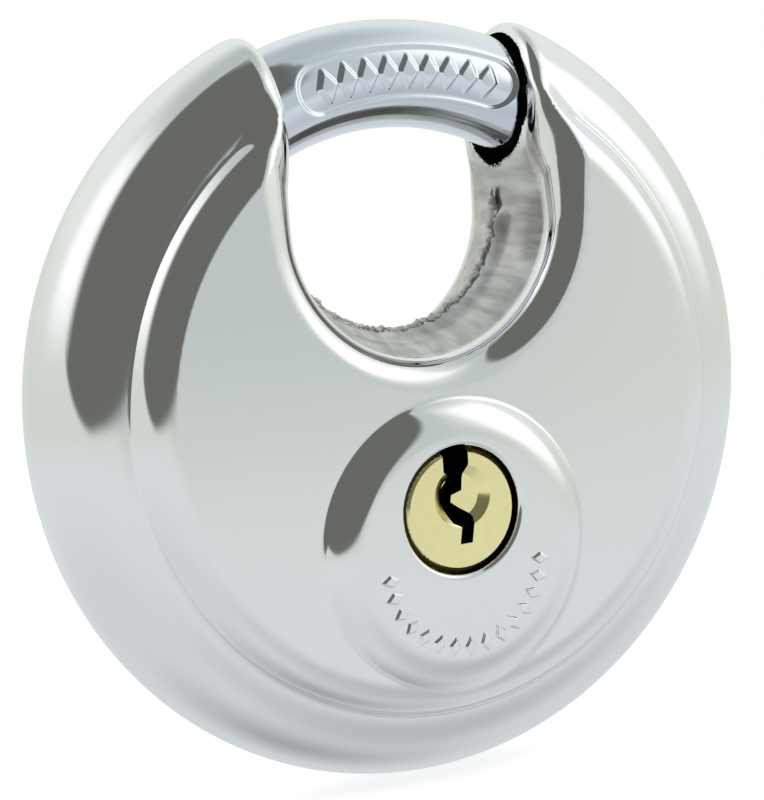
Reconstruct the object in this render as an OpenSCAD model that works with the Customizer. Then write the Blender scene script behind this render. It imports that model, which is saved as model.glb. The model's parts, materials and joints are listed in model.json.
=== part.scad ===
// Disc padlock: a round two-shell steel case with a curved shackle that turns inside its rim.
// X runs to the right, Y from the keyway side to the back, Z up.
// The origin is where the lock hangs: the middle of the shackle's underside, in the eye.
// Inside the modules, "depth" is the distance from the case's middle plane.

/* [Case] */
// Radius of the case's rounded rim, from the middle of the disc
case_r = 35; // [35:0.1:35.4]
// Radius of the tube that the rim is rolled to
rim_tube_r = 6.8; // [6.7:0.05:6.9]
// Depth of the flat faces from the middle plane
face_depth = 9; // [8.9:0.05:9.3]
// Radius of the rounded shoulder around each flat face
shoulder_r = 3.6; // [3.4:0.1:3.7]
// Distance from the disc's middle to where the flat face ends
face_r = 25; // [24.8:0.1:25.1]
// Thickness of the shells' steel sheet
sheet = 1.3; // [1.1:0.05:1.35]

/* [Eye] */
// Height of the eye's centre above the disc's middle
eye_z = 16.2; // [16:0.1:16.4]
// Radius of the eye at the seam between the shells
eye_r = 10.6; // [10.4:0.1:10.8]
// Radius of the eye's rounded edge on the flat faces
eye_edge_r = 15.5; // [15.2:0.1:15.7]
// Radius of that rounding
eye_round_r = 2.8; // [2.6:0.1:3]
// Half the gap between the two horns at their foot
horn_gap = 11; // [10.9:0.1:11.3]
// Outward lean of the eye's sides and of each horn's cut end
horn_lean = 6.5; // [5:0.5:7.5]

/* [Boss] */
// Distance of the boss's centre below the disc's middle
boss_z = 12.9; // [12.6:0.1:13]
// Radius of the boss's flat top
boss_top_r = 9.65; // [9.5:0.05:9.8]
// Height of the boss above the flat face
boss_rise = 1.45; // [1.4:0.05:1.6]
// Radius of the boss's domed edge
boss_round_r = 4.4; // [4.2:0.1:4.6]
// Radius of the hole that shows the plug
plug_hole_r = 5.8; // [5.7:0.05:5.9]

/* [Shackle] */
// Radius of the shackle's round bar
bar_r = 4.75; // [4.6:0.05:4.8]
// Radius of the arc that the bar follows
bar_arc_r = 28.3; // [28.25:0.05:28.35]
// Angle of the bar's nose, left of straight up
nose_angle = 38; // [34:1:40]
// Angle of the bar's tail, right of straight up
tail_angle = 155; // [150:1:160]

/* [Cylinder] */
// Radius of the plug
plug_r = 5.5; // [5.4:0.05:5.55]
// Running clearance of the plug in its bore
plug_gap = 0.03; // [0.02:0.01:0.05]
// Distance of the plug's axis below the disc's middle
plug_z = 9.7; // [9.6:0.05:9.75]
// Depth of the plug's face from the middle plane
plug_face = 10.2; // [10:0.05:10.3]
// Radius of the cylinder body's round part
barrel_r = 8.2; // [8:0.1:8.4]
// Width of the block that holds the pin chambers
bible_w = 6; // [5:0.2:6.4]
// Radius of the pins
pin_r = 0.7; // [0.6:0.05:0.75]
// Distance between neighbouring pins
pin_pitch = 2; // [1.95:0.05:2.1]

/* [Drive] */
// Radius of the crank pin
crank_pin_r = 1.2; // [1:0.05:1.3]
// Thickness of the drive arm
arm_t = 1.7; // [1.5:0.1:1.7]
// Half the width of the drive arm
arm_half_w = 3.3; // [3:0.1:3.5]
// Turn of the shackle between locked and open
shackle_travel = 80; // [70:1:80]

/* [Hidden] */
$fn = 96;

hang_z = bar_arc_r - bar_r;
rim_arc_r = case_r - rim_tube_r;
far = 60;
fit_gap = 0.03;

horn_foot_rise = 2.3;
hole_bevel_t = 0.4;

// The eye's drafted wall ends where the rounding starts, straight out from the rounding's middle.
eye_round_depth = face_depth - eye_round_r;
eye_throat_r = eye_edge_r - eye_round_r;
eye_draft = atan2(eye_throat_r - eye_r, eye_round_depth);

boss_round_depth = face_depth + boss_rise - boss_round_r;

// Depths are negative behind the middle plane.
core_r = 23.2;
core_front = face_depth - sheet - 0.1;
core_back = -1.7;
eye_clearance_r = 15.8;
post_r = 2.6;
post_places = [[19.3, -4], [18.6, 8]];
rear_plate_front = -5.45;
rear_plate_t = 1.4;
screw_r = 1.2;
screw_head_r = 2.2;
screw_head_t = 0.7;
screw_depth = 5;
screw_tip_gap = 0.5;
screw_cross_len = 2.6;
screw_cross_w = 0.5;
screw_cross_depth = 0.4;
guard_back = 7.85;
guard_front = 9.05;
guard_r = 10;
guard_hole_r = plug_r + 0.15;

body_front = 7.7;
body_back = -0.9;
body_bottom = 12.2;
cover_t = 0.6;
cover_half_w = 1.6;
cover_end = 6.9;
chamber_r = pin_r + 0.05;
pin_count = 4;
first_pin_depth = 6.8;
key_pin_inner = 2.5;
key_pin_tip = 0.6;
key_pin_tip_r = 0.25;
shear_gap = 0.05;
driver_inner = plug_r + shear_gap;
driver_len = 2.6;
spring_inner = driver_inner + driver_len + 0.03;
spring_outer = body_bottom - cover_t - 0.03;
spring_coil_r = 0.5;
spring_wire_r = 0.11;
spring_turns = 6;
spring_sides = 6;
spring_steps = 10;

plug_back = -1.9;
clip_front = -0.95;
clip_t = 0.65;
clip_groove_r = 4.4;
clip_outer_r = 6.6;
tenon_w = 5;
tenon_h = 3;
tenon_t = 0.6;
keyway_back = 0;
keyway_lead_place = [0.2, 1.2];
keyway_lead_r = 2.75;
keyway_lead_end_r = 1.9;
keyway_lead_t = 0.7;
plug_chamfer = 0.45;

// The crank is as long as the plug's axis is off the disc's middle, so the crank pin's circle
// passes through that middle and the shackle turns by exactly half the plug's angle.
crank_r = plug_z;
arm_angle = 180 - shackle_travel / 2;
crank_angle = 180 - shackle_travel;
cam_t = 1.2;
cam_hub_r = 4.6;
cam_eye_r = 2.3;
crank_half_w = 2.1;
cam_screw_r = 1.1;
cam_screw_head_r = 1.6;
cam_screw_head_t = 0.5;
cam_screw_end = -0.3;
cam_screw_sink = 0.05;
cam_screw_slot_w = 0.45;
cam_screw_slot_depth = 0.3;
crank_pin_end = -5.2;
arm_front = -3.2;
slot_gap = 0.05;
slot_in = crank_r * 2 * cos(shackle_travel / 2) - 0.06;
slot_out = crank_r * 2 + 0.1;
arm_in = slot_in + 0.6;
arm_out = 29.5;
seat_depth = -3.15;
seat_half_w = 3.6;
rivet_r = 1.1;
rivet_head_r = 1.6;
rivet_head_t = 0.25;
rivet_depth = -0.8;
rivet_place = [1.7, 27.7];

// Moves children from disc coordinates (X right, Y up, Z towards the keyway side) to the part's.
module in_case() {
    translate([0, 0, -hang_z]) rotate([90, 0, 0]) children();
}

// A flat slice between two depths of a 2D outline drawn as seen from the front.
module slab(back, front) {
    translate([0, 0, back]) linear_extrude(front - back) children();
}

// Turns a direction from straight up to a clockwise angle, seen from the front.
module clockwise(angle) {
    rotate([0, 0, -angle]) children();
}

// Half section of the case: the rim's tube, the flat face and its shoulder.
module rim_section(inset) {
    intersection() {
        translate([rim_arc_r, 0]) circle(rim_tube_r - inset);
        square([far, far]);
    }
}

module face_section(inset) {
    square([face_r, face_depth - inset]);
    translate([face_r, face_depth - shoulder_r]) circle(shoulder_r - inset);
}

// Section of the eye's void: a drafted throat that rounds over on to the flat face.
module eye_section(inset) {
    wall_in = inset / cos(eye_draft);
    difference() {
        translate([0, -1]) square([eye_edge_r, far]);
        translate([eye_edge_r, eye_round_depth]) circle(eye_round_r - inset);
        polygon([
            [eye_r + wall_in - tan(eye_draft), -1],
            [eye_throat_r + wall_in, eye_round_depth],
            [eye_edge_r, eye_round_depth],
            [eye_edge_r, -1]
        ]);
    }
}

// The eye's void: round below, with sides that lean outward between the horns. The sides start a
// little below where they touch the round, so that the two surfaces cross instead of grazing.
module eye_void(inset) {
    side_overlap = 1;
    round_from = horn_lean + 2.7;
    lean_shift = far * tan(horn_lean);
    translate([0, eye_z, 0]) {
        rotate([0, 0, 180 + round_from])
            rotate_extrude(angle = 180 - 2 * round_from) eye_section(inset);
        for (side = [0, 1]) mirror([side, 0, 0]) rotate([0, 0, -horn_lean])
            translate([0, far, 0]) rotate([90, 0, 0])
                linear_extrude(far + side_overlap) eye_section(inset);
        slab(-1, far) polygon([[-1, 0], [1, 0], [lean_shift + 1, far], [-lean_shift - 1, far]]);
    }
}

// The gap that is cut through the rim between the horns.
module horn_gap_cut() {
    foot = eye_z + horn_foot_rise;
    top_gap = horn_gap + (far - foot) * tan(horn_lean);
    slab(-far, far) {
        translate([0, eye_z]) circle(eye_r);
        polygon([
            [-eye_r, eye_z], [-horn_gap, foot], [-top_gap, far],
            [top_gap, far], [horn_gap, foot], [eye_r, eye_z]
        ]);
    }
}

module half_case(inset) {
    difference() {
        rotate_extrude() face_section(inset);
        eye_void(inset);
        translate([0, 0, -far]) cube([2 * far, 2 * far, 2 * far], center = true);
    }
    rotate_extrude() rim_section(inset);
}

module boss_dome(inset) {
    translate([0, -boss_z, 0]) rotate_extrude() intersection() {
        union() {
            square([boss_top_r, face_depth + boss_rise - inset]);
            translate([boss_top_r, boss_round_depth]) circle(boss_round_r - inset);
        }
        translate([0, face_depth - 2 * sheet]) square([far, far]);
    }
}

module front_shell() {
    hole_edge = face_depth + boss_rise;
    color("silver") in_case() difference() {
        union() {
            half_case(0);
            boss_dome(0);
        }
        half_case(sheet);
        boss_dome(sheet);
        horn_gap_cut();
        translate([0, -plug_z, face_depth - 2 * sheet]) cylinder(r = plug_hole_r, h = far);
        translate([0, -plug_z, hole_edge - hole_bevel_t])
            cylinder(r1 = plug_hole_r, r2 = plug_hole_r + 1, h = 1);
    }
}

module rear_shell() {
    color("silver") in_case() mirror([0, 0, 1]) difference() {
        half_case(0);
        half_case(sheet);
        horn_gap_cut();
    }
}

// Outline shared by the inner block and the rear plate: a disc with a bite for the eye.
module core_outline() {
    difference() {
        circle(core_r);
        translate([0, eye_z]) circle(eye_clearance_r);
        translate([-eye_clearance_r, eye_z]) square([2 * eye_clearance_r, far]);
    }
}

module at_posts() {
    for (side = [-1, 1])
        for (place = post_places)
            translate([side * place.x, place.y]) children();
}

module core_housing() {
    pocket_gap = 0.05;
    color("darkgray") in_case() difference() {
        union() {
            slab(core_back, core_front) core_outline();
            at_posts() slab(rear_plate_front, core_back + 0.5) circle(post_r);
        }
        slab(core_back - 1, core_front + 1) translate([0, -plug_z]) {
            circle(barrel_r + pocket_gap);
            translate([-bible_w / 2 - pocket_gap, -body_bottom - pocket_gap])
                square([bible_w + 2 * pocket_gap, body_bottom]);
        }
        at_posts() slab(rear_plate_front - 1, rear_plate_front + screw_depth) circle(screw_r + fit_gap);
    }
}

module rear_plate() {
    color("slategray") in_case() slab(rear_plate_front - rear_plate_t, rear_plate_front) difference() {
        core_outline();
        at_posts() circle(screw_r + fit_gap);
    }
}

module rear_plate_screws() {
    under_head = rear_plate_front - rear_plate_t;
    color("gainsboro") in_case() at_posts() difference() {
        union() {
            slab(under_head, rear_plate_front + screw_depth - screw_tip_gap) circle(screw_r);
            slab(under_head - screw_head_t, under_head) circle(screw_head_r);
        }
        slab(under_head - screw_head_t - 1, under_head - screw_head_t + screw_cross_depth) {
            square([screw_cross_len, screw_cross_w], center = true);
            square([screw_cross_w, screw_cross_len], center = true);
        }
    }
}

module anti_drill_plate() {
    color("dimgray") in_case() slab(guard_back, guard_front) difference() {
        translate([0, -boss_z]) circle(guard_r);
        translate([0, -plug_z]) circle(guard_hole_r);
    }
}

// Puts children at each pin's depth, on the plug's axis, with Z pointing down the pin chamber.
module at_pin(number) {
    translate([0, -plug_z, first_pin_depth - (number - 1) * pin_pitch]) rotate([90, 0, 0]) children();
}

module cylinder_body() {
    color("goldenrod") in_case() difference() {
        slab(body_back, body_front) translate([0, -plug_z]) difference() {
            union() {
                circle(barrel_r);
                translate([-bible_w / 2, -body_bottom]) square([bible_w, body_bottom]);
            }
            circle(plug_r + plug_gap);
        }
        slab(body_back - 1, cover_end) translate([-cover_half_w - fit_gap, -plug_z - body_bottom - 1])
            square([2 * (cover_half_w + fit_gap), cover_t + 1]);
        for (number = [1:pin_count])
            at_pin(number) cylinder(r = chamber_r, h = body_bottom);
    }
}

module pin_cover() {
    color("gold") in_case() slab(body_back, cover_end - 0.05)
        translate([-cover_half_w, -plug_z - body_bottom]) square([2 * cover_half_w, cover_t - 0.02]);
}

// The keyway's outline about the plug's axis: a bent slot, open at the top of the plug.
module keyway_outline() {
    polygon([
        [-1.5, 6], [-1.5, 3.5], [-0.8, 3], [-1.1, 2.5], [-1.8, 1.7], [-1.7, 0.8], [-1.1, -0.5],
        [-0.8, -1.1], [-0.05, -1.5], [-0.3, -3], [0.9, -3], [1.3, -0.8], [1.1, -0.5], [0, 0.2],
        [-0.65, 0.7], [-0.55, 1.3], [0.5, 1.6], [0.6, 2.6], [1, 4.1], [1, 6]
    ]);
}

module plug() {
    color("gold") in_case() translate([0, -plug_z, 0]) difference() {
        union() {
            slab(plug_back, plug_face - plug_chamfer) circle(plug_r);
            translate([0, 0, plug_face - plug_chamfer])
                cylinder(r1 = plug_r, r2 = plug_r - plug_chamfer, h = plug_chamfer);
            slab(plug_back - tenon_t, plug_back + 0.5) square([tenon_w, tenon_h], center = true);
        }
        slab(keyway_back, plug_face + 1) keyway_outline();
        translate([keyway_lead_place.x, keyway_lead_place.y, plug_face - keyway_lead_t])
            cylinder(r1 = keyway_lead_end_r, r2 = keyway_lead_r, h = keyway_lead_t + 0.001);
        slab(clip_front - clip_t - fit_gap, clip_front + fit_gap) difference() {
            circle(plug_r + 1);
            circle(clip_groove_r);
        }
        slab(plug_back - 2, cam_screw_end + 0.1) circle(cam_screw_r + fit_gap);
        translate([0, plug_z, 0]) for (number = [1:pin_count])
            at_pin(number) cylinder(r = chamber_r, h = plug_r + 1);
    }
}

// A key pin rests on the shear line, its cone towards the keyway.
module key_pin(number) {
    color("khaki") in_case() at_pin(number) translate([0, 0, key_pin_inner]) {
        cylinder(r1 = key_pin_tip_r, r2 = pin_r, h = key_pin_tip);
        translate([0, 0, key_pin_tip])
            cylinder(r = pin_r, h = plug_r - shear_gap - key_pin_inner - key_pin_tip);
    }
}

module driver_pin(number) {
    color("silver") in_case() at_pin(number) translate([0, 0, driver_inner])
        cylinder(r = pin_r, h = driver_len);
}

// Point number i of ring j on the spring's wire.
function spring_point(j, i) =
    let (turn = 360 * j / spring_steps, around = 360 * i / spring_sides,
         reach = spring_coil_r + spring_wire_r * cos(around),
         wire_span = spring_outer - spring_inner - 2 * spring_wire_r,
         rise = wire_span * j / (spring_steps * spring_turns))
    [reach * cos(turn), reach * sin(turn), spring_wire_r + rise + spring_wire_r * sin(around)];

module pin_spring(number) {
    rings = spring_steps * spring_turns;
    wire_points = [for (j = [0:rings]) for (i = [0:spring_sides - 1]) spring_point(j, i)];
    side_faces = [for (j = [0:rings - 1]) for (i = [0:spring_sides - 1])
        let (k = (i + 1) % spring_sides, a = j * spring_sides, b = a + spring_sides)
        for (corners = [[a + i, b + i, b + k], [a + i, b + k, a + k]]) corners];
    start_cap = [for (i = [0:spring_sides - 1]) i];
    end_cap = [for (i = [spring_sides - 1:-1:0]) rings * spring_sides + i];
    color("lightsteelblue") in_case() at_pin(number) translate([0, 0, spring_inner])
        polyhedron(wire_points, concat(side_faces, [start_cap, end_cap]));
}

module plug_clip() {
    mouth_half_w = clip_groove_r - 0.5;
    color("dimgray") in_case() translate([0, -plug_z, clip_front - clip_t])
        linear_extrude(clip_t) difference() {
            circle(clip_outer_r);
            circle(clip_groove_r + fit_gap);
            translate([-mouth_half_w, 0]) square([2 * mouth_half_w, far]);
        }
}

module drive_cam() {
    color("lightslategray") in_case() translate([0, -plug_z, 0]) difference() {
        slab(plug_back - cam_t, plug_back) difference() {
            union() {
                circle(cam_hub_r);
                clockwise(crank_angle) {
                    translate([-crank_half_w, 0]) square([2 * crank_half_w, crank_r]);
                    translate([0, crank_r]) circle(cam_eye_r);
                }
            }
            clockwise(crank_angle) translate([0, crank_r]) circle(crank_pin_r + fit_gap);
            circle(cam_screw_r + fit_gap);
        }
        slab(plug_back - tenon_t - fit_gap, plug_back + 1)
            square([tenon_w + 2 * fit_gap, tenon_h + 2 * fit_gap], center = true);
        translate([0, 0, plug_back - cam_t - 0.001]) cylinder(
            r1 = cam_screw_head_r + cam_screw_sink + fit_gap,
            r2 = cam_screw_r + fit_gap,
            h = cam_screw_head_t + cam_screw_sink
        );
    }
}

module crank_pin() {
    color("silver") in_case() translate([0, -plug_z, 0]) clockwise(crank_angle)
        translate([0, crank_r, 0]) slab(crank_pin_end, plug_back) circle(crank_pin_r);
}

module cam_screw() {
    head_face = plug_back - cam_t + cam_screw_sink;
    color("gainsboro") in_case() translate([0, -plug_z, 0]) difference() {
        union() {
            slab(head_face, cam_screw_end) circle(cam_screw_r);
            translate([0, 0, head_face])
                cylinder(r1 = cam_screw_head_r, r2 = cam_screw_r, h = cam_screw_head_t);
        }
        slab(head_face - 1, head_face + cam_screw_slot_depth)
            square([2 * cam_screw_r, cam_screw_slot_w], center = true);
    }
}

module shackle() {
    color("lightsteelblue") in_case() difference() {
        rotate([0, 0, 90 - tail_angle]) rotate_extrude(angle = tail_angle + nose_angle)
            translate([bar_arc_r, 0]) circle(bar_r);
        clockwise(arm_angle) {
            translate([-seat_half_w, core_r, seat_depth - far]) cube([2 * seat_half_w, far, far]);
            at_rivets() slab(-far, rivet_depth) circle(rivet_r + fit_gap);
        }
    }
}

module at_rivets() {
    for (side = [-1, 1])
        translate([side * rivet_place.x, rivet_place.y]) children();
}

module drive_arm() {
    color("slategray") in_case() clockwise(arm_angle) slab(arm_front - arm_t, arm_front) difference() {
        intersection() {
            union() {
                translate([0, arm_in]) circle(arm_half_w);
                translate([-arm_half_w, arm_in]) square([2 * arm_half_w, far]);
            }
            circle(arm_out);
        }
        translate([0, slot_in]) circle(crank_pin_r + slot_gap);
        translate([0, slot_out]) circle(crank_pin_r + slot_gap);
        translate([-crank_pin_r - slot_gap, slot_in])
            square([2 * (crank_pin_r + slot_gap), slot_out - slot_in]);
        at_rivets() circle(rivet_r + fit_gap);
    }
}

module arm_rivets() {
    head_base = arm_front - arm_t;
    color("silver") in_case() clockwise(arm_angle) at_rivets() {
        slab(head_base - 0.01, rivet_depth - 0.05) circle(rivet_r);
        slab(head_base - rivet_head_t - 0.01, head_base - 0.01) circle(rivet_head_r);
    }
}

front_shell();
rear_shell();
core_housing();
rear_plate();
rear_plate_screws();
anti_drill_plate();
cylinder_body();
pin_cover();
plug();
key_pin(1);  // key_pin_1
key_pin(2);  // key_pin_2
key_pin(3);  // key_pin_3
key_pin(4);  // key_pin_4
driver_pin(1);  // driver_pin_1
driver_pin(2);  // driver_pin_2
driver_pin(3);  // driver_pin_3
driver_pin(4);  // driver_pin_4
pin_spring(1);  // pin_spring_1
pin_spring(2);  // pin_spring_2
pin_spring(3);  // pin_spring_3
pin_spring(4);  // pin_spring_4
plug_clip();
drive_cam();
crank_pin();
cam_screw();
shackle();
drive_arm();
arm_rivets();
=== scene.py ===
"""Disc padlock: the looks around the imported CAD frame.

Lengths inside the shape functions are millimetres, counted from the disc's middle: x to the right,
z up, and depth forward to the keyway side (backward for the rear shell). place() turns them into the
frame's metres.
"""
import json
import math

import bmesh
import bpy
import numpy as np
from mathutils import Matrix, Vector


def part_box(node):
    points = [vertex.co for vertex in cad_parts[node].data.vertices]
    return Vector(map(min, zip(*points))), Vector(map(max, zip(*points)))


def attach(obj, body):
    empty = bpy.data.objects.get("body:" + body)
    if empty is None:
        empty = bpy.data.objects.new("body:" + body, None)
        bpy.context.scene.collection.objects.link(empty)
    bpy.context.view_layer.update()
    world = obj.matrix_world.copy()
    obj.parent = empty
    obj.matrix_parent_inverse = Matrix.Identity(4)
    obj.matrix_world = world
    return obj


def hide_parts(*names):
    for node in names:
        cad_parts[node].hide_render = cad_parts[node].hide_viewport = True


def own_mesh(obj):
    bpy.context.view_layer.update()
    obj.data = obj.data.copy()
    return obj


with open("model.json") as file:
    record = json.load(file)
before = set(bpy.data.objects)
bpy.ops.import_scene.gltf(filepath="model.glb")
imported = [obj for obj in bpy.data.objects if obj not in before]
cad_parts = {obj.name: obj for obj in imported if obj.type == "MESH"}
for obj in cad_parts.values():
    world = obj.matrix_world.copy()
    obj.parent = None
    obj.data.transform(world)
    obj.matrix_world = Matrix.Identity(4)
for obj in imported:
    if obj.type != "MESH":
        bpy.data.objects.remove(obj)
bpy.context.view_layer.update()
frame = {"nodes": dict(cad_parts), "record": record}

MM = 0.001

# ---------------------------------------------------------------- sizes, from the CAD boxes
case_low, case_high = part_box("front_shell")
plug_low, plug_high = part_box("plug")
CASE_R = (case_high.x - case_low.x) / 2 / MM
HANG = -case_low.z / MM - CASE_R            # the disc's middle is this far below the origin
PLUG_Z = (plug_high.z + plug_low.z) / 2 / MM + HANG
PLUG_R = (plug_high.x - plug_low.x) / 2 / MM
BOSS_DEPTH = -case_low.y / MM

RIM_TUBE_R = 6.8
RIM_ARC_R = CASE_R - RIM_TUBE_R
SHEET = 1.3
BOSS_RISE = 1.45                            # of the boss's top over the flat face
FACE_DEPTH = BOSS_DEPTH - BOSS_RISE
SHOULDER_R = 3.6
FACE_R = 25.0
EYE_Z = 16.2
EYE_R = 10.6
EYE_EDGE_R = 15.5
EYE_ROUND_R = 2.8
EYE_ROUND_GAIN = 1.4                        # the rounding widens by this towards the horns,
GAIN_FROM, GAIN_TO = EYE_Z - 3, EYE_Z + 8   # between these heights
THROAT_DRAFT = (EYE_EDGE_R - EYE_ROUND_R - EYE_R) / (FACE_DEPTH - EYE_ROUND_R)
THROAT_GROOVE = 0.22                        # shallow groove beside the seam in the eye
GROOVE_DEPTH = 2.3
GROOVE_HALF_W = 1.1
HORN_FOOT = 11.0
HORN_FOOT_Z = EYE_Z + 2.3
HORN_LEAN = math.radians(6.5)
BOSS_Z = -12.9
BOSS_TOP_R = 9.65
BOSS_ROUND_R = 4.4
PLUG_GAP = 0.16
PLUG_HOLE_R = PLUG_R + PLUG_GAP
# how far each edge or crease is blended, in mm
CREASE = 0.22
HORN_BLEND = 2.6
HORN_EDGE = 1.9
SHOULDER_BLEND = 0.5
SEAM_EDGE = 0.01
HOLE_EDGE = 0.45
BAR_R = 4.75
BAR_ARC_R = 28.3
NOSE_ANGLE = -38.0
TAIL_ANGLE = 155.0


def place(x, z, depth):
    """Disc millimetres to the frame's metres."""
    return np.stack([x, -np.asarray(depth), z - HANG], axis=-1) * MM


# ---------------------------------------------------------------- smooth solid arithmetic
def smooth_max(a, b, k):
    """The larger of two distances, blended where they differ by less than k."""
    h = np.clip(0.5 + 0.5 * (a - b) / k, 0, 1)
    return b + (a - b) * h + k * h * (1 - h)


def smooth_min(a, b, k):
    """The smaller of two distances, blended the same way."""
    return -smooth_max(-a, -b, k)


def rounded_corner(a, b, radius):
    """Distance to a corner of two faces that is rounded to a radius; a and b are inset by it."""
    outside = np.hypot(np.maximum(a, 0), np.maximum(b, 0))
    return outside + np.minimum(np.maximum(a, b), 0) - radius


def rim_tube(r, depth):
    """The round rim, a tube bent to the disc's circle."""
    return np.hypot(r - RIM_ARC_R, depth) - RIM_TUBE_R


def flat_disc(r, depth):
    """The flat face with its rounded shoulder."""
    return rounded_corner(r - FACE_R, depth - (FACE_DEPTH - SHOULDER_R), SHOULDER_R)


def ramp(value, low, high):
    """0 below low and 1 above high, with a smooth step between."""
    t = np.clip((value - low) / (high - low), 0, 1)
    return t * t * (3 - 2 * t)


def eye_wall(x, z, depth):
    """The solid around the eye: a drafted throat, rounded over on to the flat face."""
    leaning = np.abs(x) * math.cos(HORN_LEAN) - (z - EYE_Z) * math.sin(HORN_LEAN)
    reach = np.where(z - EYE_Z < -np.abs(x) * math.tan(HORN_LEAN), np.hypot(x, z - EYE_Z), leaning)
    rounding_r = EYE_ROUND_R + EYE_ROUND_GAIN * ramp(z, GAIN_FROM, GAIN_TO)
    round_depth = FACE_DEPTH - rounding_r
    draft = np.arctan2(EYE_EDGE_R - rounding_r - EYE_R, round_depth)
    wall = -((reach - EYE_R) * np.cos(draft) - depth * np.sin(draft))
    wall = wall + THROAT_GROOVE * np.exp(-((depth - GROOVE_DEPTH) / GROOVE_HALF_W) ** 2)
    rounding = np.hypot(reach - EYE_EDGE_R, depth - round_depth) - rounding_r
    beyond = np.maximum(EYE_EDGE_R - reach, depth - FACE_DEPTH)
    # well away from the eye this surface sinks, so that blending with it leaves the face alone
    beyond = beyond - 1.5 * ramp(reach, EYE_EDGE_R, EYE_EDGE_R + 3)
    return np.minimum(np.minimum(rounding, np.maximum(wall, depth - round_depth)), beyond)


def boss(x, z, depth):
    """The raised round boss that the plug sits in."""
    r = np.hypot(x, z - BOSS_Z)
    return rounded_corner(r - BOSS_TOP_R, depth - (BOSS_DEPTH - BOSS_ROUND_R), BOSS_ROUND_R)


def horn_gap(x, z):
    """Negative in the gap between the two horns."""
    side = np.abs(x) - HORN_FOOT - (z - HORN_FOOT_Z) * math.tan(HORN_LEAN)
    return np.maximum(side * math.cos(HORN_LEAN), EYE_Z - z)


def pressed_face(x, z, depth):
    """The flat face and the eye's wall, one sheet with a soft bend between them."""
    r = np.hypot(x, z)
    blend = SEAM_EDGE + SHOULDER_BLEND * ramp(r, FACE_R, FACE_R + 2)
    return smooth_max(flat_disc(r, depth), eye_wall(x, z, depth), blend)


def outside(x, z, depth, front):
    """The half case's outer skin."""
    near_horn = ramp(-np.abs(x), -EYE_EDGE_R - 2, -HORN_FOOT - 1) * ramp(z, EYE_Z - 2, EYE_Z + 4)
    rim = rim_tube(np.hypot(x, z), depth)
    skin = smooth_min(pressed_face(x, z, depth), rim, CREASE + HORN_BLEND * near_horn)
    return smooth_min(skin, boss(x, z, depth), CREASE) if front else skin


def shell_solid(x, z, depth, front):
    """Signed distance to a half shell's sheet, negative in the steel."""
    skin = outside(x, z, depth, front)
    sheet = np.maximum(smooth_max(skin, -horn_gap(x, z), HORN_EDGE), -(skin + SHEET))
    sheet = smooth_max(sheet, -depth, SEAM_EDGE)
    if front:
        hole = np.where(depth > 0, PLUG_HOLE_R - np.hypot(x, z - PLUG_Z), -1.0)
        sheet = smooth_max(sheet, hole, HOLE_EDGE)
    return sheet


# ---------------------------------------------------------------- meshes
CREASE_ANGLE = 20                           # degrees
SEAM_REACH = 0.8                            # of the mesh's grid
SKIN_FACING = 0.3                           # how squarely a point's normal must face a skin to lie on it
RIM_CREASE_REACH = 0.7                      # how near a crease the faces are split, in mm
BOSS_CREASE_REACH = 0.8
AWAY = 9.0                                  # a distance that means nowhere near
GRADIENT_STEP = 0.01


def new_object(name, vertices, faces):
    """A smooth-shaded mesh object in the scene."""
    mesh = bpy.data.meshes.new(name)
    mesh.from_pydata([tuple(v) for v in vertices], [], [tuple(f) for f in faces])
    mesh.validate()
    mesh.update()
    piece = bpy.data.objects.new(name, mesh)
    bpy.context.scene.collection.objects.link(piece)
    mesh.shade_smooth()
    return piece


def apply_modifiers(piece):
    """Swaps a piece's mesh for what its modifiers make of it."""
    graph = bpy.context.evaluated_depsgraph_get()
    mesh = bpy.data.meshes.new_from_object(piece.evaluated_get(graph))
    old = piece.data
    piece.modifiers.clear()
    piece.data = mesh
    bpy.data.meshes.remove(old)


def slope(solid, x, z, depth):
    """Gradient of a signed distance, as unit vectors in (x, z, depth)."""
    step = GRADIENT_STEP
    g = np.stack([
        solid(x + step, z, depth) - solid(x - step, z, depth),
        solid(x, z + step, depth) - solid(x, z - step, depth),
        solid(x, z, depth + step) - solid(x, z, depth - step),
    ], axis=-1) / (2 * step)
    return g / np.maximum(np.linalg.norm(g, axis=-1, keepdims=True), 1e-6)


def settle(points, solid, rounds=4):
    """Moves points on to the surface of a signed distance, by short steps."""
    longest = 0.4
    for _ in range(rounds):
        value = np.clip(solid(*points.T), -longest, longest)
        points = points - value[:, None] * slope(solid, *points.T)
    return points


def even_out(points, edges, solid, rounds):
    """Spreads points evenly over the surface, keeping them on it."""
    count = np.bincount(edges.ravel(), minlength=len(points))[:, None]
    for _ in range(rounds):
        total = np.zeros_like(points)
        np.add.at(total, edges[:, 0], points[edges[:, 1]])
        np.add.at(total, edges[:, 1], points[edges[:, 0]])
        pull = total / np.maximum(count, 1) - points
        normal = slope(solid, *points.T)
        pull -= normal * np.sum(pull * normal, axis=1, keepdims=True)
        points = settle(points + 0.6 * pull, solid, 2)
    return points


def join_seam(points, skin, near):
    """Moves the points close to the seam's outer corner on to it, so that it runs unbroken."""
    reach = skin(*points.T)
    corner = (np.abs(points[:, 2]) < near) & (np.abs(reach) < near)
    flat = points[corner] * (1, 1, 0)
    for _ in range(4):
        way = slope(skin, *flat.T) * (1, 1, 0)
        way /= np.linalg.norm(way, axis=1, keepdims=True)
        flat = flat - skin(*flat.T)[:, None] * way
    points[corner] = flat
    return points


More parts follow.
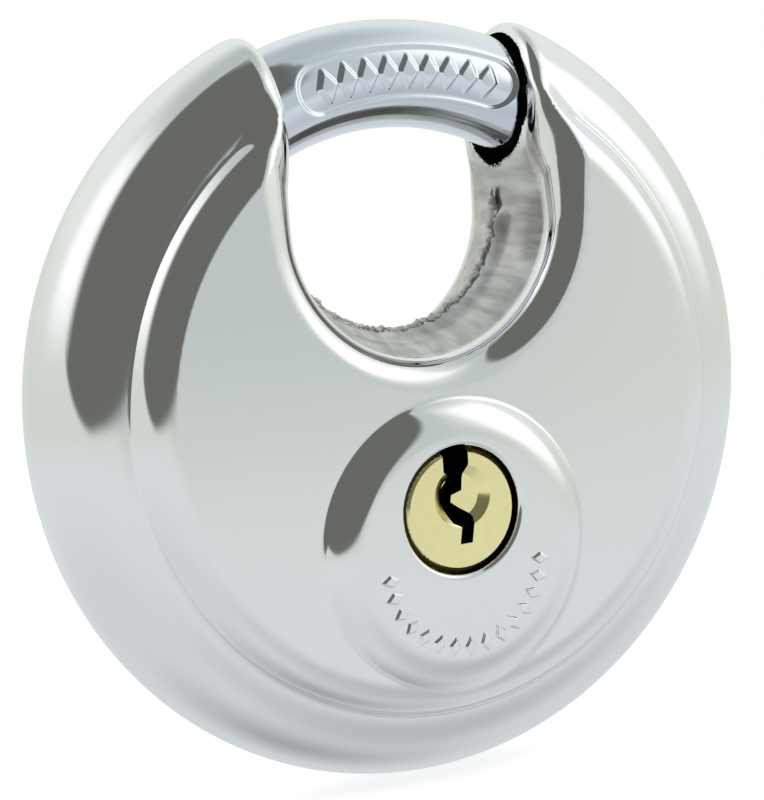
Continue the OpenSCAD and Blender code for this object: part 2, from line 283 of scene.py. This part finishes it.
def refine_creases(mesh, one, other, near):
    """Splits the faces that lie close to where two surfaces meet."""
    points = read_points(mesh)
    close = (np.abs(one(*points.T)) < near) & (np.abs(other(*points.T)) < near)
    fine = bmesh.new()
    fine.from_mesh(mesh)
    fine.verts.ensure_lookup_table()
    picked = [e for e in fine.edges if close[e.verts[0].index] and close[e.verts[1].index]]
    bmesh.ops.subdivide_edges(fine, edges=picked, cuts=1, use_grid_fill=True)
    bmesh.ops.triangulate(fine, faces=[f for f in fine.faces if len(f.verts) > 4])
    fine.to_mesh(mesh)
    fine.free()


def corner_normals(mesh, points, solid):
    """One normal per face corner: the surface's own, but each face's side of it at a crease."""
    count = len(mesh.loops)
    vertex_of = np.empty(count, int)
    mesh.loops.foreach_get("vertex_index", vertex_of)
    sides = np.empty(len(mesh.polygons), int)
    mesh.polygons.foreach_get("loop_total", sides)
    face_of = np.repeat(np.arange(len(sides)), sides)
    middle = np.zeros((len(sides), 3))
    np.add.at(middle, face_of, points[vertex_of])
    middle /= sides[:, None]
    own = slope(solid, *points.T)[vertex_of]
    inner = points[vertex_of] * 0.6 + middle[face_of] * 0.4
    inner = slope(solid, *inner.T)
    bent = np.sum(own * inner, axis=1) < math.cos(math.radians(CREASE_ANGLE))
    at_crease = np.zeros(len(points), bool)
    at_crease[vertex_of[bent]] = True
    return np.where(at_crease[vertex_of][:, None], inner, own)


def paint(mesh, name, values):
    """Stores a number per vertex, for a material to read."""
    layer = mesh.attributes.new(name, "FLOAT", "POINT")
    layer.data.foreach_set("value", np.asarray(values, float))


def read_points(mesh):
    """A shell mesh's vertices as x, z and y, in disc millimetres."""
    co = np.empty(len(mesh.vertices) * 3)
    mesh.vertices.foreach_get("co", co)
    co = co.reshape(-1, 3) / MM
    return np.stack([co[:, 0], co[:, 2] + HANG, co[:, 1]], axis=-1)


def write_points(mesh, points):
    """Puts disc millimetres back into a shell mesh."""
    back = np.stack([points[:, 0], points[:, 2], points[:, 1] - HANG], axis=-1) * MM
    mesh.vertices.foreach_set("co", back.ravel())
    mesh.update()


# the rough, unpolished part of the eye: close to its wall, full to one height and gone at another
THROAT_NEAR = 0.9
THROAT_FULL = EYE_Z + 3
THROAT_TOP = EYE_Z + 6


def shell(name, node, front, grid):
    """A half shell's sheet, remeshed evenly from its CAD node and settled on the smooth surface."""
    piece = bpy.data.objects.new(name, frame["nodes"][node].data.copy())
    bpy.context.scene.collection.objects.link(piece)
    remesh = piece.modifiers.new("Even quads", "REMESH")
    remesh.mode = "VOXEL"
    remesh.voxel_size = grid * MM
    apply_modifiers(piece)
    mesh = piece.data
    side = -1 if front else 1

    def solid(x, z, y):
        return shell_solid(x, z, y * side, front)

    def skin_only(x, z, y):
        return outside(x, z, y * side, front)

    def tube(x, z, y):
        return rim_tube(np.hypot(x, z), y * side)

    def face(x, z, y):
        return pressed_face(x, z, y * side)

    def dome(x, z, y):
        return boss(x, z, y * side) if front else np.full_like(x, AWAY)

    def below_dome(x, z, y):
        return outside(x, z, y * side, False)

    def cut_skin(x, z, y):
        return smooth_max(outside(x, z, y * side, front), -horn_gap(x, z), HORN_EDGE)

    def plug_hole(x, z, y):
        return np.where(y * side > FACE_DEPTH - SHEET, PLUG_HOLE_R - np.hypot(x, z - PLUG_Z), AWAY)

    def lining(x, z, y):
        return -(outside(x, z, y * side, front) + SHEET)

    points = read_points(mesh)
    outward = np.empty(len(points) * 3)
    mesh.vertex_normals.foreach_get("vector", outward)
    outward = outward.reshape(-1, 3)[:, (0, 2, 1)]
    facing = np.sum(outward * slope(skin_only, *points.T), axis=1)
    away = np.sum(outward * slope(lining, *points.T), axis=1)
    outer, inner = facing > SKIN_FACING, (facing <= SKIN_FACING) & (away > SKIN_FACING)
    points[outer] = settle(points[outer], skin_only, 5)
    points[inner] = settle(points[inner], lining, 5)
    points = settle(points, solid)
    edges = np.empty(len(mesh.edges) * 2, int)
    mesh.edges.foreach_get("vertices", edges)
    write_points(mesh, even_out(points, edges.reshape(-1, 2), solid, 3))
    refine_creases(mesh, tube, face, RIM_CREASE_REACH)
    refine_creases(mesh, dome, below_dome, BOSS_CREASE_REACH)
    refine_creases(mesh, dome, plug_hole, BOSS_CREASE_REACH)
    points = join_seam(settle(read_points(mesh), solid), cut_skin, SEAM_REACH * grid)
    write_points(mesh, points)
    mesh.shade_smooth()
    normal = corner_normals(mesh, points, solid)
    mesh.normals_split_custom_set([tuple(n) for n in normal[:, (0, 2, 1)]])
    depth = points[:, 2] * side
    wall = np.abs(eye_wall(points[:, 0], points[:, 1], depth)) < THROAT_NEAR
    within = ramp(FACE_DEPTH - EYE_ROUND_R - depth, -0.6, 0.4)
    paint(mesh, "throat", wall * within * ramp(-points[:, 1], -THROAT_TOP, -THROAT_FULL))
    mesh.materials.clear()
    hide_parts(node)
    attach(piece, "case")
    return piece


# ---------------------------------------------------------------- the shackle
PANEL_FROM, PANEL_TO = -20.5, 24.0          # degrees along the bar
PANEL_HALF_W = 2.45
PANEL_DEEP = 0.28
PANEL_EDGE = 0.36                           # width of the step down into the panel
MARK_COUNT = 9
MARK_HALF_H = 1.75
MARK_HALF_W = 1.0
MARK_RELIEF = 0.24
NOSE_ROUND = 1.6
# flat on the bar's back, where the drive arm is riveted
SEAT_ANGLE = 140.0
SEAT_HALF_ANGLE = 7.4
SEAT_DEPTH = 3.15


def soft_step(value, width):
    """From 0 to 1 across a width that is centred on 0."""
    t = np.clip(value / width + 0.5, 0, 1)
    return t * t * (3 - 2 * t)


def panel_height(along, across):
    """Height of the bar's front at a place, in mm from the panel's middle line."""
    middle = math.radians((PANEL_FROM + PANEL_TO) / 2) * BAR_ARC_R
    half_len = math.radians((PANEL_TO - PANEL_FROM) / 2) * BAR_ARC_R - PANEL_HALF_W
    ends = np.maximum(np.abs(along - middle) - half_len, 0)
    inside = PANEL_HALF_W - np.hypot(ends, across)
    height = -PANEL_DEEP * soft_step(inside - PANEL_EDGE / 2, PANEL_EDGE)
    pitch = 2 * half_len / (MARK_COUNT - 0.4)
    for i in range(MARK_COUNT):
        at = along - middle - (i - (MARK_COUNT - 1) / 2) * pitch
        edge = 1 - (np.abs(at) / MARK_HALF_W + np.abs(across) / MARK_HALF_H)
        height = height + MARK_RELIEF * soft_step(edge * 0.6 - 0.05, 0.2)
    return height


def dense_steps(start, end, inner_from, inner_to, fine, coarse):
    """Places from start to end, close together between inner_from and inner_to."""
    parts = [
        np.linspace(start, inner_from, max(2, round((inner_from - start) / coarse)), endpoint=False),
        np.linspace(inner_from, inner_to, round((inner_to - inner_from) / fine), endpoint=False),
        np.linspace(inner_to, end, max(2, round((end - inner_to) / coarse)) + 1),
    ]
    return np.concatenate(parts)


def make_shackle():
    """The bar, with the recessed panel and its row of lozenges on the front."""
    along_deg = dense_steps(NOSE_ANGLE, TAIL_ANGLE, PANEL_FROM - 1, PANEL_TO + 1, 0.28, 1.5)
    cap = NOSE_ROUND / BAR_ARC_R
    around = dense_steps(-180, 180, -34, 34, 1.25, 7.0)[:-1]
    rings = []
    for angle in along_deg:
        along = math.radians(angle) * BAR_ARC_R
        across = np.radians(around) * BAR_R
        radius = BAR_R + panel_height(along, across)
        from_end = min(angle - NOSE_ANGLE, TAIL_ANGLE - angle) * math.pi / 180 / cap
        if from_end < 1:
            radius = radius - NOSE_ROUND * (1 - math.sqrt(max(0, 1 - (1 - from_end) ** 2)))
        rings.append((angle, np.radians(around), radius))
    vertices = []
    for angle, turn, radius in rings:
        depth = radius * np.cos(turn)
        r = BAR_ARC_R + radius * np.sin(turn)
        if abs(angle - SEAT_ANGLE) < SEAT_HALF_ANGLE:
            depth = np.maximum(depth, -SEAT_DEPTH)
        a = math.radians(angle)
        vertices.append(place(r * math.sin(a), r * math.cos(a), depth))
    vertices = np.concatenate(vertices)
    n = len(around)
    faces = []
    for i in range(len(rings) - 1):
        for j in range(n):
            k = (j + 1) % n
            faces.append((i * n + j, i * n + k, (i + 1) * n + k, (i + 1) * n + j))
    faces.append(tuple(range(n - 1, -1, -1)))
    last = (len(rings) - 1) * n
    faces.append(tuple(last + j for j in range(n)))
    piece = new_object("shackle_bar", vertices, faces)
    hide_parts("shackle")
    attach(piece, "shackle")
    return piece


# ---------------------------------------------------------------- the boss's raised marks
MARKS_ARC_Z = PLUG_Z - 4.6                  # middle of the arc that the marks stand on
MARKS_ARC_R = 7.45
MARKS_FROM, MARKS_TO = -86.0, 84.0          # degrees from straight down, to the right
MARKS_COUNT = 15
LOZENGE_HALF_H = 1.0
LOZENGE_HALF_W = 0.62
LOZENGE_SIDE = 0.24
LOZENGE_RELIEF = 0.2


def boss_surface(x, z):
    """Depth of the boss's outer face at a place."""
    over = np.clip(np.hypot(x, z - BOSS_Z) - BOSS_TOP_R, 0, 0.95 * BOSS_ROUND_R)
    return BOSS_DEPTH - BOSS_ROUND_R + np.sqrt(BOSS_ROUND_R ** 2 - over ** 2)


def lozenge_height(along, across):
    """Height of a lozenge with sloped sides."""
    edge = 1 - np.abs(along) / LOZENGE_HALF_W - np.abs(across) / LOZENGE_HALF_H
    return LOZENGE_RELIEF * soft_step(edge * LOZENGE_HALF_W - LOZENGE_SIDE / 2, LOZENGE_SIDE)


def make_boss_marks():
    """The arc of small raised lozenges under the plug."""
    step = 0.045
    sunk = 0.012
    vertices, faces = [], []
    for i in range(MARKS_COUNT):
        at = math.radians(MARKS_FROM + (MARKS_TO - MARKS_FROM) * i / (MARKS_COUNT - 1))
        along, across = np.meshgrid(np.arange(-0.7, 0.71, step), np.arange(-1.05, 1.06, step))
        height = lozenge_height(along, across)
        radius = MARKS_ARC_R - across
        turn = at + along / MARKS_ARC_R
        x, z = radius * np.sin(turn), MARKS_ARC_Z - radius * np.cos(turn)
        places = place(x, z, boss_surface(x, z) + height - sunk)
        rows, columns = along.shape
        first = len(vertices)
        vertices.extend(places.reshape(-1, 3))
        for r in range(rows - 1):
            for c in range(columns - 1):
                if height[r:r + 2, c:c + 2].max() > 0:
                    a = first + r * columns + c
                    faces.append((a, a + columns, a + columns + 1, a + 1))
    piece = new_object("boss_marks", vertices, faces)
    clean = bmesh.new()
    clean.from_mesh(piece.data)
    loose = [v for v in clean.verts if not v.link_faces]
    bmesh.ops.delete(clean, geom=loose, context="VERTS")
    bmesh.ops.recalc_face_normals(clean, faces=clean.faces)
    clean.to_mesh(piece.data)
    clean.free()
    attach(piece, "case")
    return piece


# ---------------------------------------------------------------- the weld inside the eye
BEAD_HALF_W = 0.75
BEAD_HEIGHT = 0.28
BEAD_RISE = 2.4                             # up the eye's straight sides
BEAD_SIDE_STEPS = 16
BEAD_SUNK = 0.06


def make_weld_bead():
    """A ragged bead along the seam between the shells, round the bottom of the eye."""
    rng = np.random.default_rng(7)
    lean_x, lean_z = math.sin(HORN_LEAN), math.cos(HORN_LEAN)
    rise = np.linspace(BEAD_RISE, 0, BEAD_SIDE_STEPS, endpoint=False)
    bend = np.linspace(HORN_LEAN, math.pi - HORN_LEAN, 240)
    side_x = EYE_R * lean_z + rise * lean_x
    side_z = rise * lean_z - EYE_R * lean_x
    x = np.concatenate([-side_x, -EYE_R * np.cos(bend), side_x[::-1]])
    z = EYE_Z + np.concatenate([side_z, -EYE_R * np.sin(bend), side_z[::-1]])
    turned = np.concatenate([np.full(BEAD_SIDE_STEPS, HORN_LEAN), bend,
                             np.full(BEAD_SIDE_STEPS, math.pi - HORN_LEAN)])
    inward = np.stack([np.cos(turned), np.sin(turned)], axis=-1)
    count = len(x)

    def wander(size, every):
        """Random values along the bead, about a size, that turn every few points."""
        knots = rng.normal(0, size, count // every + 3)
        return np.interp(np.arange(count), np.arange(len(knots)) * every, knots)

    middle = wander(0.09, 7) + wander(0.05, 3)
    wide = BEAD_HALF_W * (1 + wander(0.16, 5) + wander(0.1, 2))
    from_end = np.minimum(np.arange(count), np.arange(count)[::-1])
    taper = np.clip(from_end / BEAD_SIDE_STEPS, 0, 1) ** 0.5
    tall = BEAD_HEIGHT * (1 + wander(0.25, 4) + wander(0.2, 2)) * taper
    wide = wide * taper
    around = np.linspace(0, math.pi, 13)
    vertices = []
    for turn in around:
        depth = middle + wide * math.cos(turn)
        lift = tall * math.sin(turn) ** 0.8 * (1 + wander(0.08, 2))
        lift = lift - BEAD_SUNK - np.abs(depth) * THROAT_DRAFT
        vertices.append(place(x + inward[:, 0] * lift, z + inward[:, 1] * lift, depth))
    vertices = np.concatenate(vertices)
    faces = [(j * count + i, j * count + i + 1, (j + 1) * count + i + 1, (j + 1) * count + i)
             for j in range(len(around) - 1) for i in range(count - 1)]
    piece = new_object("weld_bead", vertices, faces)
    paint(piece.data, "throat", np.ones(len(vertices)))
    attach(piece, "case")
    return piece


# ---------------------------------------------------------------- the pin springs
def make_spring(number):
    """The coil of a pin spring, copied as it stands from its CAD node; the real spring shortens as its
    driver pin lifts, but nothing here makes this one shorten.
    """
    node = f"pin_spring_{number}"
    piece = bpy.data.objects.new(f"spring_coil_{number}", frame["nodes"][node].data.copy())
    bpy.context.scene.collection.objects.link(piece)
    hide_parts(node)
    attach(piece, "case")
    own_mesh(piece)
    return piece


# ---------------------------------------------------------------- materials
def material(name, color, metallic, roughness):
    """A Principled material, with its nodes, links and shader."""
    m = bpy.data.materials.new(name)
    m.use_nodes = True
    shader = m.node_tree.nodes["Principled BSDF"]
    shader.inputs["Base Color"].default_value = (*color, 1)
    shader.inputs["Metallic"].default_value = metallic
    shader.inputs["Roughness"].default_value = roughness
    return m, m.node_tree.nodes, m.node_tree.links, shader


def noise(nodes, links, scale, detail, coords=None):
    """Smooth random values between 0 and 1, over the object's own coordinates unless told."""
    if coords is None:
        coords = nodes.new("ShaderNodeTexCoord").outputs["Object"]
    tex = nodes.new("ShaderNodeTexNoise")
    tex.inputs["Scale"].default_value = scale
    tex.inputs["Detail"].default_value = detail
    links.new(coords, tex.inputs["Vector"])
    return tex.outputs["Fac"]


def math_node(nodes, links, operation, *values):
    """A Math node's result; each value is a number or a socket."""
    node = nodes.new("ShaderNodeMath")
    node.operation = operation
    for socket, value in zip(node.inputs, values):
        if isinstance(value, (int, float)):
            socket.default_value = value
        else:
            links.new(value, socket)
    return node.outputs["Value"]


def mix_color(nodes, links, fac, a, b):
    """Colour a where fac is 0, and b where it is 1."""
    node = nodes.new("ShaderNodeMix")
    node.data_type = "RGBA"
    links.new(fac, node.inputs["Factor"])
    for socket, value in ((node.inputs["A"], a), (node.inputs["B"], b)):
        if isinstance(value, tuple):
            socket.default_value = (*value, 1)
        else:
            links.new(value, socket)
    return node.outputs["Result"]


def attribute(nodes, name):
    """A number stored on the mesh by paint()."""
    node = nodes.new("ShaderNodeAttribute")
    node.attribute_name = name
    return node.outputs["Fac"]


def stretched(nodes, links, scale):
    """Object coordinates, scaled differently along each axis."""
    node = nodes.new("ShaderNodeVectorMath")
    node.operation = "MULTIPLY"
    node.inputs[1].default_value = scale
    links.new(nodes.new("ShaderNodeTexCoord").outputs["Object"], node.inputs[0])
    return node.outputs["Vector"]


def scale_color(nodes, links, color, value):
    """A colour made lighter or darker by a factor."""
    node = nodes.new("ShaderNodeVectorMath")
    node.operation = "SCALE"
    links.new(color, node.inputs[0])
    links.new(value, node.inputs["Scale"])
    return node.outputs["Vector"]


def map_range(nodes, links, value, low, high, to_low, to_high, smooth=False):
    """A value's range stretched to another, and held at its ends."""
    node = nodes.new("ShaderNodeMapRange")
    if smooth:
        node.interpolation_type = "SMOOTHSTEP"
    for key, number in (("From Min", low), ("From Max", high), ("To Min", to_low), ("To Max", to_high)):
        node.inputs[key].default_value = number
    links.new(value, node.inputs["Value"])
    return node.outputs["Result"]


def mix_value(nodes, links, fac, a, b):
    """Value a where fac is 0, and b where it is 1."""
    node = nodes.new("ShaderNodeMix")
    links.new(fac, node.inputs["Factor"])
    for socket, value in ((node.inputs["A"], a), (node.inputs["B"], b)):
        if isinstance(value, (int, float)):
            socket.default_value = value
        else:
            links.new(value, socket)
    return node.outputs["Result"]


def bump(nodes, links, height, shader, strength, distance, before=None):
    """Fine relief on a material; gives the bump node."""
    node = nodes.new("ShaderNodeBump")
    node.inputs["Strength"].default_value = strength
    node.inputs["Distance"].default_value = distance
    links.new(height, node.inputs["Height"])
    if before is not None:
        links.new(before.outputs["Normal"], node.inputs["Normal"])
    links.new(node.outputs["Normal"], shader.inputs["Normal"])
    return node


STEEL_SHINE = 0.87                          # share of the light that the polished steel throws back


def plug_hole_painted_shade(nodes, links):
    """1 on the cut wall of the plug's hole in the front shell, where near black is painted as the shade
    of the gap round the plug.
    """
    place_of = nodes.new("ShaderNodeSeparateXYZ")
    links.new(nodes.new("ShaderNodeTexCoord").outputs["Object"], place_of.inputs[0])
    x, y, z = place_of.outputs
    up = math_node(nodes, links, "SUBTRACT", z, (PLUG_Z - HANG) * MM)
    square = math_node(nodes, links, "ADD", math_node(nodes, links, "MULTIPLY", x, x),
                       math_node(nodes, links, "MULTIPLY", up, up))
    radius = math_node(nodes, links, "SQRT", square)
    past_edge = 0.04
    near = math_node(nodes, links, "LESS_THAN", radius, (PLUG_HOLE_R + past_edge) * MM)
    ahead = math_node(nodes, links, "LESS_THAN", y, -(FACE_DEPTH - 2 * SHEET) * MM)
    return math_node(nodes, links, "MULTIPLY", near, ahead)


def case_steel():
    """Polished stainless steel, scratched and duller in the eye's throat, with painted shade on the cut
    wall of the plug's hole.
    """
    m, nodes, links, shader = material("case_steel", (STEEL_SHINE, STEEL_SHINE, STEEL_SHINE), 1.0, 0.1)
    cloud = noise(nodes, links, 90, 4)
    polished = map_range(nodes, links, cloud, 0.3, 0.7, 0.03, 0.08)
    throat = attribute(nodes, "throat")
    links.new(mix_value(nodes, links, throat, polished, 0.3), shader.inputs["Roughness"])
    streaks = noise(nodes, links, 1, 3, stretched(nodes, links, (900, 90, 900)))
    shade = map_range(nodes, links, streaks, 0.3, 0.7, 0.55, 0.95)
    worn = mix_color(nodes, links, throat, (STEEL_SHINE,) * 3, (0.70, 0.69, 0.66))
    dull = mix_value(nodes, links, throat, 1.0, shade)
    worn = scale_color(nodes, links, worn, dull)
    # painted shade: the plug hole's cut wall is coloured near black, standing in for the shadow in the
    # gap
    edge = plug_hole_painted_shade(nodes, links)
    links.new(mix_color(nodes, links, edge, worn, (0.03, 0.028, 0.025)), shader.inputs["Base Color"])
    wave = noise(nodes, links, 220, 2)
    soft = bump(nodes, links, wave, shader, 0.1, 0.00004)
    scratches = bump(nodes, links, streaks, shader, 0.3, 0.00008, soft)
    links.new(mix_value(nodes, links, throat, 0.0, 0.5), scratches.inputs["Strength"])
    return m


def shackle_chrome():
    """Bright, slightly blue chrome plate."""
    m, nodes, links, shader = material("shackle_chrome", (0.80, 0.84, 0.90), 1.0, 0.1)
    cloud = noise(nodes, links, 300, 4)
    rough = map_range(nodes, links, cloud, 0.35, 0.75, 0.05, 0.16)
    links.new(rough, shader.inputs["Roughness"])
    wave = noise(nodes, links, 500, 2)
    bump(nodes, links, wave, shader, 0.3, 0.00003)
    return m


def plug_brass():
    """Brushed brass; faces that turn sideways, the slot's upright walls among them, are painted near
    black as shade.
    """
    face = (1.0, 0.90, 0.48)
    m, nodes, links, shader = material("plug_brass", face, 1.0, 0.25)
    cloud = noise(nodes, links, 900, 4)
    rough = map_range(nodes, links, cloud, 0.3, 0.7, 0.14, 0.24)
    links.new(rough, shader.inputs["Roughness"])
    facing = nodes.new("ShaderNodeSeparateXYZ")
    links.new(nodes.new("ShaderNodeNewGeometry").outputs["True Normal"], facing.inputs[0])
    upright = math_node(nodes, links, "ABSOLUTE", facing.outputs["Y"])
    # painted shade: near black wherever a face turns sideways, such as the keyway's walls
    wall = map_range(nodes, links, upright, 0.3, 0.5, 1, 0)
    links.new(mix_color(nodes, links, wall, face, (0.012, 0.01, 0.007)),
              shader.inputs["Base Color"])
    grain = noise(nodes, links, 1, 3, stretched(nodes, links, (3500, 3500, 500)))
    bump(nodes, links, grain, shader, 0.25, 0.00003)
    return m


def plain_metal(name, color, roughness, grain):
    """An unpolished metal with an even grain."""
    m, nodes, links, shader = material(name, color, 1.0, roughness)
    cloud = noise(nodes, links, grain, 4)
    rough = map_range(nodes, links, cloud, 0.3, 0.7, roughness * 0.8, roughness * 1.25)
    links.new(rough, shader.inputs["Roughness"])
    bump(nodes, links, cloud, shader, 0.25, 0.00004)
    return m


def give(piece, m):
    """Makes m the piece's only material."""
    piece.data.materials.clear()
    piece.data.materials.append(m)


# ---------------------------------------------------------------- build
steel = case_steel()
chrome = shackle_chrome()
brass = plug_brass()

FRONT_GRID, REAR_GRID = 0.35, 0.45          # the shell meshes' face size, in mm
covers = [shell("front_cover", "front_shell", True, FRONT_GRID),
          shell("rear_cover", "rear_shell", False, REAR_GRID)]
for piece in (*covers, make_boss_marks(), make_weld_bead()):
    give(piece, steel)
bar = make_shackle()
give(bar, chrome)

looks = {
    "case_steel": steel,
    "shackle_chrome": chrome,
    "brass_plug": brass,
    "brass_body": plain_metal("machined_brass", (0.70, 0.50, 0.20), 0.35, 800),
    "zinc": plain_metal("die_cast_zinc", (0.45, 0.46, 0.48), 0.5, 600),
    "plain_steel": plain_metal("blanked_steel", (0.52, 0.53, 0.54), 0.35, 700),
    "dark_steel": plain_metal("blackened_steel", (0.10, 0.10, 0.11), 0.4, 700),
    "fastener_steel": plain_metal("zinc_plate", (0.62, 0.63, 0.66), 0.25, 900),
    "spring_steel": plain_metal("drawn_wire", (0.55, 0.57, 0.60), 0.25, 1500),
}
for number in range(1, 5):
    coil = make_spring(number)
    give(coil, looks["spring_steel"])
slot_of = {s["node"]: s["material_slot"] for s in frame["record"]["subparts"]}
for name, node in frame["nodes"].items():
    give(node, looks[slot_of[name]])

# ---------------------------------------------------------------- floor, light and camera
DISC = Vector((0, 0, -HANG * MM))


FLOOR_R = 0.6
FLOOR_FADE_FROM, FLOOR_FADE_TO = 0.1, 0.45  # the floor fades into the white around it


def make_floor():
    """A pale round floor under the lock."""
    mesh = bpy.data.meshes.new("floor")
    rim = [(FLOOR_R * math.cos(a), FLOOR_R * math.sin(a), case_low.z)
           for a in np.linspace(0, 2 * math.pi, 96, endpoint=False)]
    mesh.from_pydata(rim, [], [tuple(range(len(rim)))])
    floor = bpy.data.objects.new("floor", mesh)
    floor.visible_glossy = False
    bpy.context.scene.collection.objects.link(floor)
    m, nodes, links, shader = material("pale_floor", (0.9, 0.9, 0.9), 0.0, 0.7)
    shader.inputs["Emission Color"].default_value = (1, 1, 1, 1)
    shader.inputs["Emission Strength"].default_value = 0.55
    size = nodes.new("ShaderNodeVectorMath")
    size.operation = "LENGTH"
    links.new(stretched(nodes, links, (1, 1, 0)), size.inputs[0])
    fade = map_range(nodes, links, size.outputs["Value"], FLOOR_FADE_FROM, FLOOR_FADE_TO, 0, 1, True)
    clear = nodes.new("ShaderNodeBsdfTransparent")
    mix = nodes.new("ShaderNodeMixShader")
    links.new(fade, mix.inputs["Fac"])
    links.new(shader.outputs["BSDF"], mix.inputs[1])
    links.new(clear.outputs["BSDF"], mix.inputs[2])
    links.new(mix.outputs["Shader"], nodes["Material Output"].inputs["Surface"])
    give(floor, m)


def band(nodes, links, value, low, high, soft):
    """1 between low and high, falling to 0 over soft."""
    up = map_range(nodes, links, value, low - soft / 2, low + soft / 2, 0, 1, True)
    down = map_range(nodes, links, value, high - soft / 2, high + soft / 2, 1, 0, True)
    return math_node(nodes, links, "MULTIPLY", up, down)


def lit(r, g, b):
    """A light's level, given as the polished steel shows it."""
    return (r / STEEL_SHINE, g / STEEL_SHINE, b / STEEL_SHINE)


def window(nodes, links, azimuth, elevation, left, right, low, high, soft_side, soft_end):
    """A rectangle of sky between two azimuths and two elevations, in degrees, with soft edges."""
    rad = math.radians
    wide = band(nodes, links, azimuth, rad(left), rad(right), rad(soft_side))
    tall = band(nodes, links, elevation, rad(low), rad(high), rad(soft_end))
    return math_node(nodes, links, "MULTIPLY", wide, tall)


def make_world():
    """A white tent around the lock with bright panels on both sides and a dark front opening."""
    world = bpy.data.worlds.new("tent")
    world.use_nodes = True
    nodes, links = world.node_tree.nodes, world.node_tree.links
    way = nodes.new("ShaderNodeTexCoord").outputs["Generated"]
    split = nodes.new("ShaderNodeSeparateXYZ")
    links.new(way, split.inputs[0])
    x, y, z = split.outputs
    left = math_node(nodes, links, "MULTIPLY", x, -1.0)
    ahead = math_node(nodes, links, "MULTIPLY", y, -1.0)
    azimuth = math_node(nodes, links, "ARCTAN2", left, ahead)
    elevation = math_node(nodes, links, "ARCSINE", z)
    rad = math.radians

    def climb(low, high):
        """0 below one elevation and 1 above another, in degrees."""
        return map_range(nodes, links, elevation, rad(low), rad(high), 0, 1, True)

    def patch(*edges):
        """1 inside a window of sky."""
        return window(nodes, links, azimuth, elevation, *edges)

    # the tent's shade, from straight down to straight up
    color = mix_color(nodes, links, climb(-95, -50), lit(0.36, 0.36, 0.40), lit(0.60, 0.635, 0.65))
    color = mix_color(nodes, links, climb(-40, -16), color, lit(0.65, 0.69, 0.70))
    low_shade = patch(-60, -5, -62, -26, 50, 30)
    color = mix_color(nodes, links, low_shade, color, lit(0.47, 0.48, 0.50))
    color = mix_color(nodes, links, climb(-13, -7), color, lit(0.62, 0.66, 0.61))
    color = mix_color(nodes, links, climb(0, 30), color, lit(0.74, 0.78, 0.75))
    color = mix_color(nodes, links, climb(45, 75), color, lit(0.46, 0.50, 0.50))
    # a bright panel on each side, and a grey strip beside the opening
    right_panel = patch(-76, -38, 3, 48, 16, 16)
    color = mix_color(nodes, links, right_panel, color, lit(1.08, 1.09, 1.08))
    left_panel = patch(82, 120, 18, 56, 26, 22)
    color = mix_color(nodes, links, left_panel, color, lit(1.02, 1.02, 1.04))
    grey_strip = patch(-31, 0, -8, 70, 14, 8)
    color = mix_color(nodes, links, grey_strip, color, lit(0.50, 0.55, 0.55))
    # the dark opening; its lower edge curves up towards its left end
    leftward = map_range(nodes, links, azimuth, rad(35), rad(90), 0, 1, False)
    rise = math_node(nodes, links, "MULTIPLY", math_node(nodes, links, "POWER", leftward, 2.0), rad(26))
    level = math_node(nodes, links, "SUBTRACT", elevation, rise)
    floor_edge = map_range(nodes, links, level, rad(-8), rad(-5), 0, 1, True)
    top_edge = map_range(nodes, links, elevation, rad(78), rad(90), 1, 0.3, True)
    right_edge = map_range(nodes, links, azimuth, rad(-20), rad(-15), 0, 1, True)
    left_edge = map_range(nodes, links, azimuth, rad(71), rad(85), 1, 0, True)
    opening = floor_edge
    for edge in (top_edge, right_edge, left_edge):
        opening = math_node(nodes, links, "MULTIPLY", opening, edge)
    color = mix_color(nodes, links, opening, color, lit(0.13, 0.137, 0.123))
    background = nodes["Background"]
    seen = nodes.new("ShaderNodeLightPath").outputs["Is Camera Ray"]
    links.new(mix_color(nodes, links, seen, color, (1.0, 1.0, 1.0)), background.inputs["Color"])
    bpy.context.scene.world = world


def make_lamp():
    """A soft light over the lock, which the metal doesn't mirror."""
    lamp = bpy.data.lights.new("overhead", "AREA")
    lamp.shape = "DISK"
    lamp.size = 0.5
    lamp.energy = 1.6
    holder = bpy.data.objects.new("overhead", lamp)
    holder.location = (-0.05, -0.1, 0.5)
    aim = Vector((0, 0, case_low.z)) - holder.location
    holder.rotation_euler = aim.to_track_quat("-Z", "Y").to_euler()
    holder.visible_glossy = False
    bpy.context.scene.collection.objects.link(holder)


# The camera stands to the left of the lock's front, a little above it, close up.
CAMERA_YAW = math.radians(27.02)
CAMERA_PITCH = math.radians(5.70)
CAMERA_ROLL = math.radians(-4.68)
CAMERA_REACH = 200.066                      # to the disc's middle, in mm
CAMERA_OFFSET = (1.738, 0.950)              # right and up, of the disc's middle in the view
DISC_OFFSET = -0.2
CAMERA_LENS = 99.67


def make_camera():
    """The camera, aimed by how the lock is turned before it."""
    turn = (Matrix.Rotation(CAMERA_PITCH, 3, "X") @ Matrix.Rotation(CAMERA_YAW, 3, "Z")
            @ Matrix.Rotation(CAMERA_ROLL, 3, "Y"))
    away = Vector((CAMERA_OFFSET[0], CAMERA_REACH, CAMERA_OFFSET[1])) + turn @ Vector((DISC_OFFSET, 0, 0))
    back = turn.transposed()
    axes = Matrix((back.col[0], back.col[2], -back.col[1])).transposed()
    data = bpy.data.cameras.new("camera")
    data.sensor_width = 36
    data.lens = CAMERA_LENS
    data.clip_start = 0.01
    camera = bpy.data.objects.new("camera", data)
    camera.matrix_world = Matrix.Translation(DISC - back @ away * MM) @ axes.to_4x4()
    bpy.context.scene.collection.objects.link(camera)
    bpy.context.scene.camera = camera


make_floor()
make_world()
make_lamp()
make_camera()
bpy.context.scene.view_settings.view_transform = "Standard"
